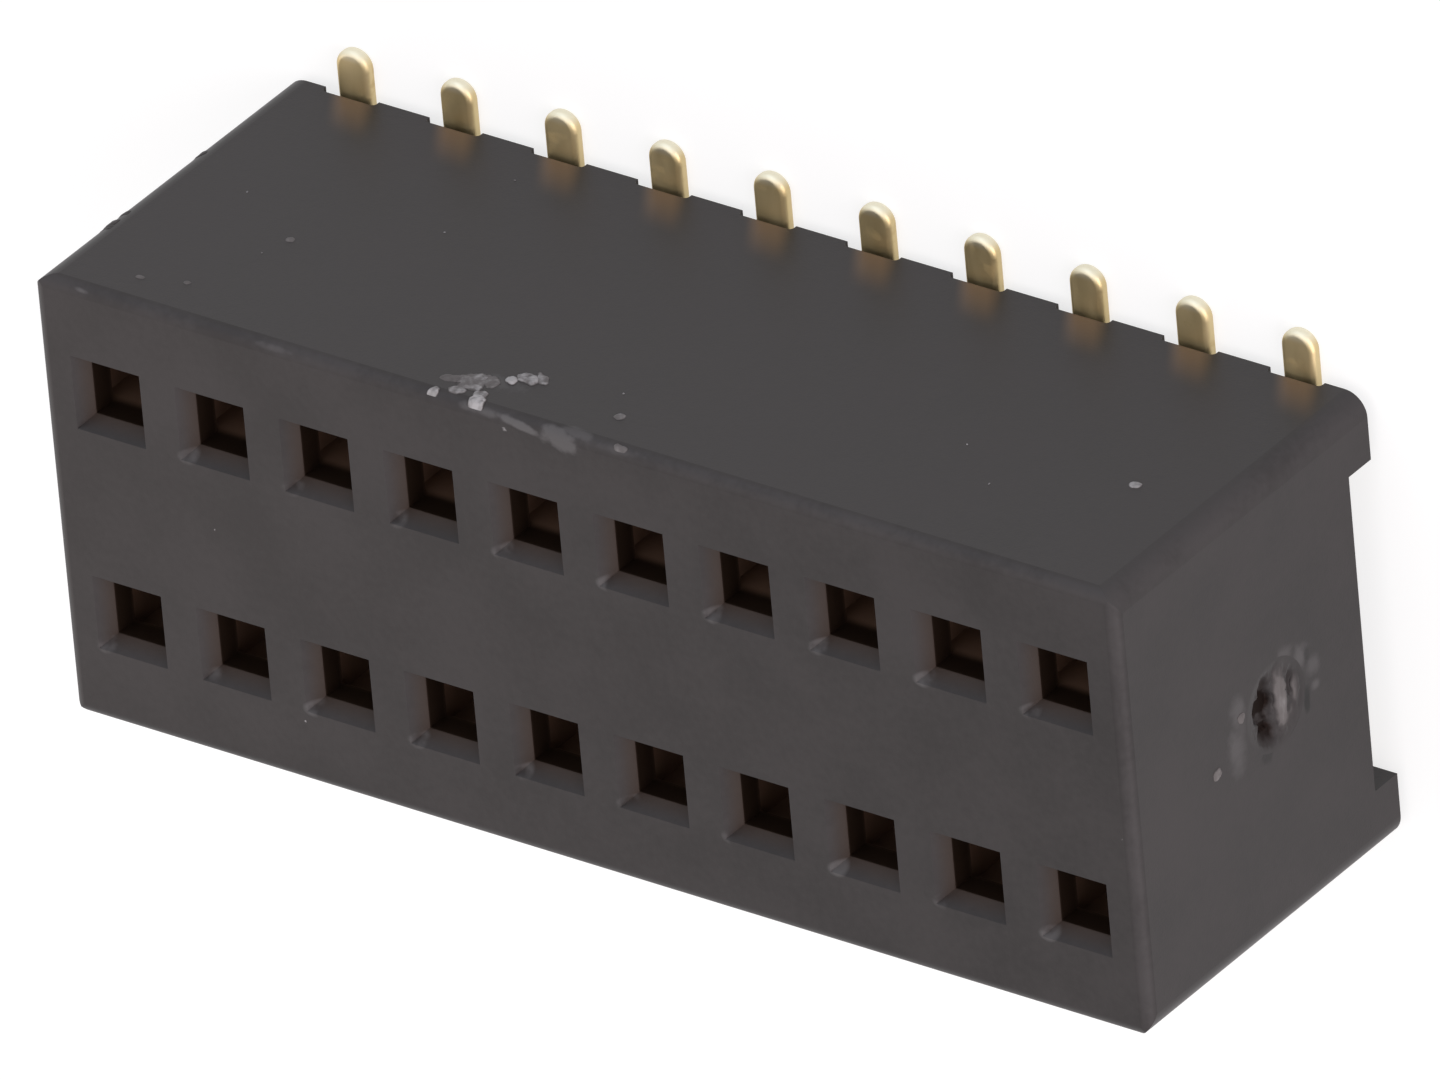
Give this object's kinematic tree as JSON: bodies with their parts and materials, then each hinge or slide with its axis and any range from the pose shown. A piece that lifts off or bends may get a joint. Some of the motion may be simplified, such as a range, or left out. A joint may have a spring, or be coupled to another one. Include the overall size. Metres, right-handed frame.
{
  "type": "surface-mount pin socket",
  "caption": "Two-row pin socket block with square flared holes in its top face and gold spring contacts whose flat feet come out of both sides for soldering to a board.",
  "frame": {"origin": "middle of the plane on which the solder feet rest, under the centre of the housing", "axes": "+X along the rows towards the end with the gate mark, +Y across the rows towards row a, +Z away from the board, the way a mating pin leaves"},
  "size_m": [0.013, 0.006, 0.0045],
  "materials": {
    "housing_plastic": "black glass-filled moulding, satin, with a broken gate on one end and a scuff on one long edge",
    "contact_gold": "thin gold plating over stamped copper alloy, satin, with pressed edges"
  },
  "bodies": {
    "root": {"housing": "housing_plastic", "contact_a1": "contact_gold", "contact_a2": "contact_gold", "contact_a3": "contact_gold", "contact_a4": "contact_gold", "contact_a5": "contact_gold", "contact_a6": "contact_gold", "contact_a7": "contact_gold", "contact_a8": "contact_gold", "contact_a9": "contact_gold", "contact_a10": "contact_gold", "contact_b1": "contact_gold", "contact_b2": "contact_gold", "contact_b3": "contact_gold", "contact_b4": "contact_gold", "contact_b5": "contact_gold", "contact_b6": "contact_gold", "contact_b7": "contact_gold", "contact_b8": "contact_gold", "contact_b9": "contact_gold", "contact_b10": "contact_gold"}
  },
  "joints": []
}
